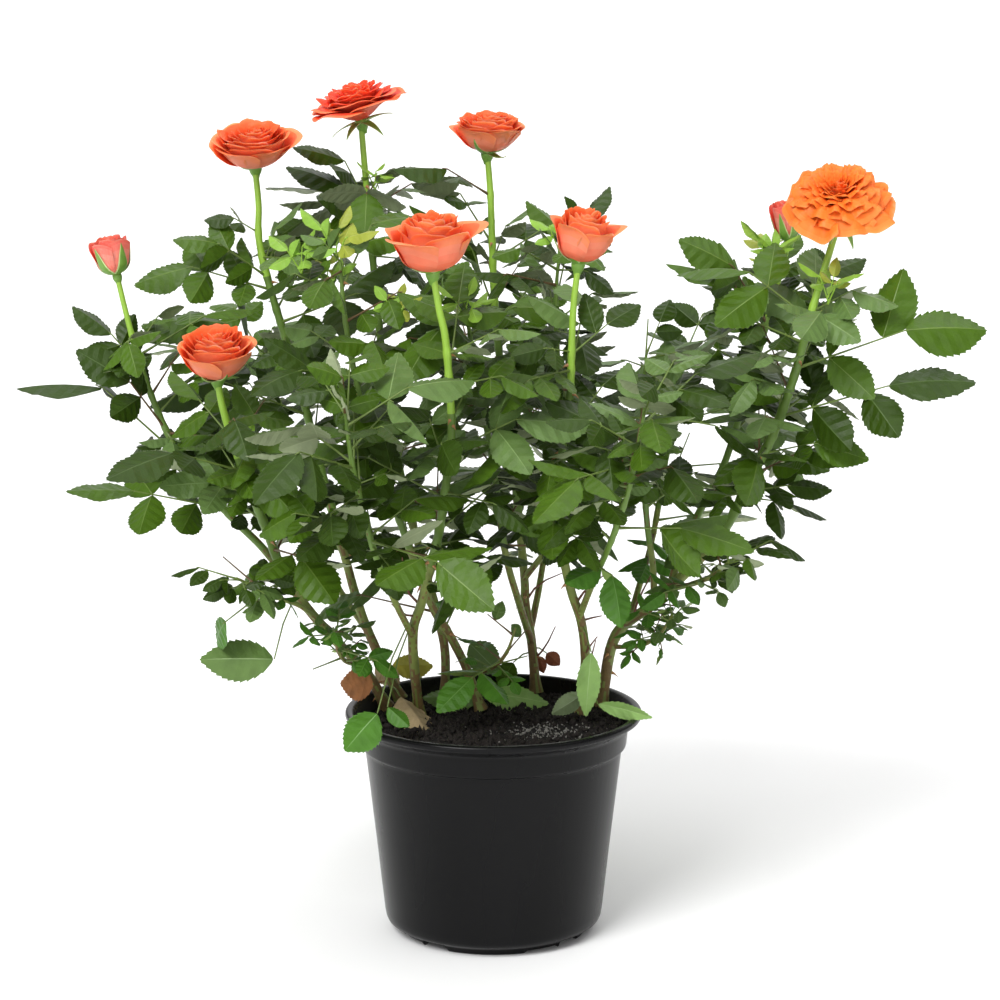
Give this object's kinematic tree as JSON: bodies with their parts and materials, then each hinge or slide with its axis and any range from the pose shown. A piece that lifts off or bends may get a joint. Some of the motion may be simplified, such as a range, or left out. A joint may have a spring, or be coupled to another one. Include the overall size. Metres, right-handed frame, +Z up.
{
  "type": "potted patio rose bush",
  "caption": "Patio rose with leaning green canes, toothed compound leaves and coral-orange blooms and buds, in a round black plastic nursery pot filled with compost.",
  "frame": {"origin": "centre of the pot's flat underside", "axes": "+Z up, -Y towards the front view, +X to the right of the front view"},
  "size_m": [0.607, 0.4666, 0.5396],
  "materials": {
    "pot": "soft gloss black",
    "soil": "rough dark compost",
    "cane": "satin green bark",
    "foliage": "satin green leaves",
    "flower": "soft coral petals"
  },
  "bodies": {
    "root": {"pot": "pot", "soil": "soil", "cane_left": "cane", "foliage_left": "foliage", "flower_left": "flower", "bough_foot_left": "cane", "foliage_foot_left": "foliage", "cane_left_back": "cane", "foliage_left_back": "foliage", "flower_left_back": "flower", "bough_far_left": "cane", "foliage_far_left": "foliage", "flower_far_left": "flower", "bough_low_left": "cane", "foliage_low_left": "foliage", "bough_front_left": "cane", "foliage_front_left": "foliage", "bough_back_left": "cane", "foliage_back_left": "foliage", "cane_centre_front": "cane", "foliage_centre_front": "foliage", "flower_centre_front": "flower", "cane_centre_left": "cane", "foliage_centre_left": "foliage", "bough_foot_middle": "cane", "foliage_foot_middle": "foliage", "cane_centre_back": "cane", "foliage_centre_back": "foliage", "flower_centre_back": "flower", "bough_centre": "cane", "foliage_centre": "foliage", "cane_mid_back": "cane", "foliage_mid_back": "foliage", "flower_mid_back": "flower", "bough_top_right": "cane", "foliage_top_right": "foliage", "bough_back": "cane", "foliage_back": "foliage", "cane_right_front": "cane", "foliage_right_front": "foliage", "flower_right_front": "flower", "bough_front_right": "cane", "foliage_front_right": "foliage", "bough_centre_right": "cane", "foliage_centre_right": "foliage", "bough_back_right": "cane", "foliage_back_right": "foliage", "bough_foot_right": "cane", "foliage_foot_right": "foliage", "cane_right": "cane", "foliage_right": "foliage", "flower_right": "flower", "bough_right_fork": "cane", "foliage_right_fork": "foliage", "flower_right_fork": "flower", "bough_low_right": "cane", "foliage_low_right": "foliage"}
  },
  "joints": []
}
